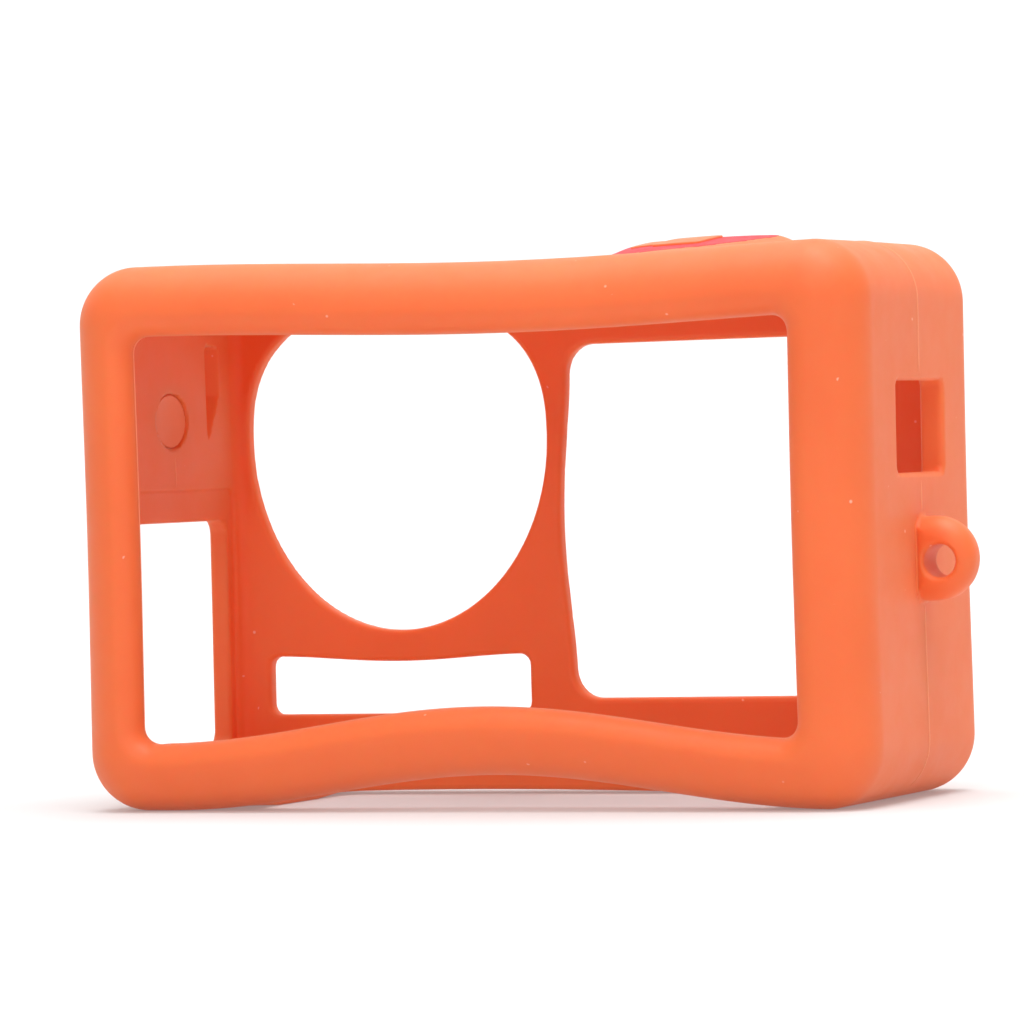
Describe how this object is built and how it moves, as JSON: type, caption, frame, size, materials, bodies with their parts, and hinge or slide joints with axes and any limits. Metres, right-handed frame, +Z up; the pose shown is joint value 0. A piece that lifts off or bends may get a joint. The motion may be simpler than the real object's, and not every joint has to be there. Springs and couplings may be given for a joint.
{
  "type": "action camera sleeve",
  "caption": "Soft silicone sleeve that an action camera is pushed into from behind, with lens, screen, door, port and base openings, press pads and a lanyard loop.",
  "frame": {"origin": "under the middle of the whole part's bounding box, on the surface that it stands on", "axes": "+Z up, +Y towards the screen side, -Y towards the lens side, +X towards the side with the door opening, -X towards the lanyard loop"},
  "size_m": [0.0798, 0.031, 0.0489],
  "materials": {
    "orange_silicone": "matte moulded silicone",
    "red_silicone": "satin moulded silicone"
  },
  "bodies": {
    "sleeve": {"sleeve_body": "orange_silicone", "lanyard_loop": "orange_silicone", "record_button_web": "orange_silicone", "side_button_web": "orange_silicone"},
    "record_button": {"record_button_pad": "orange_silicone", "record_button_inlay": "red_silicone"},
    "side_button": {"side_button_pad": "orange_silicone"}
  },
  "joints": [
    {"name": "record_press", "type": "slide", "parent": "sleeve", "child": "record_button", "axis": [0, 0, -1], "range_m": [0, 0.0008], "stiffness_N_per_m": 2500, "deforming": ["record_button_web"]},
    {"name": "side_press", "type": "slide", "parent": "sleeve", "child": "side_button", "axis": [-1, 0, 0], "range_m": [0, 0.0006], "stiffness_N_per_m": 2500, "deforming": ["side_button_web"]}
  ]
}
